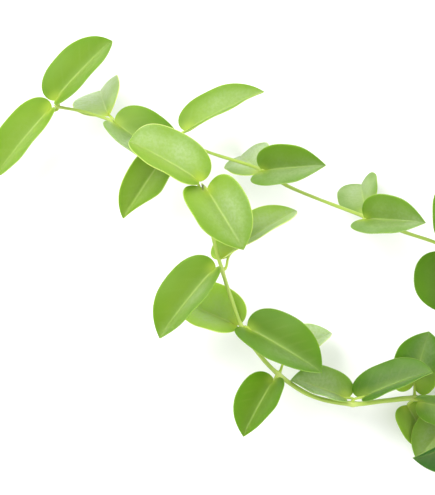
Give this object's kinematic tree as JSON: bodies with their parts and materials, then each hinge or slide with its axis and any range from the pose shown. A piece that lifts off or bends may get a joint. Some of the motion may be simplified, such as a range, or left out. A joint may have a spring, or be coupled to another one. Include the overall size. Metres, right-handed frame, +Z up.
{
  "type": "wax plant spray",
  "caption": "Cut spray of a climbing wax plant laid on a surface: a main stem with a side shoot, and thick folded heart-based leaves in opposite pairs.",
  "frame": {"origin": "centre of the spray's bounding box, on the surface that it lies on", "axes": "+Z up from the surface; +X along the spray's length, towards the cut end of the main stem; +Y across it, towards the side shoot"},
  "size_m": [0.4598, 0.3498, 0.1246],
  "materials": {
    "leaf": "satin",
    "stem": "satin"
  },
  "bodies": {
    "root": {"main_leaf_1a": "leaf", "main_leaf_1b": "leaf", "main_leaf_2a": "leaf", "main_leaf_2b": "leaf", "main_leaf_3a": "leaf", "main_leaf_3b": "leaf", "main_leaf_4a": "leaf", "main_leaf_4b": "leaf", "main_leaf_5a": "leaf", "main_leaf_5b": "leaf", "main_leaf_6a": "leaf", "main_leaf_6b": "leaf", "main_leaf_6c": "leaf", "main_leaf_7a": "leaf", "main_leaf_7b": "leaf", "main_leaf_8a": "leaf", "main_leaf_8b": "leaf", "main_stem": "stem", "side_leaf_1a": "leaf", "side_leaf_1b": "leaf", "side_leaf_2a": "leaf", "side_leaf_2b": "leaf", "side_leaf_3a": "leaf", "side_leaf_3b": "leaf", "side_leaf_4a": "leaf", "side_leaf_4b": "leaf", "side_leaf_5a": "leaf", "side_leaf_5b": "leaf", "side_leaf_6a": "leaf", "side_leaf_6b": "leaf", "side_shoot": "stem"}
  },
  "joints": []
}
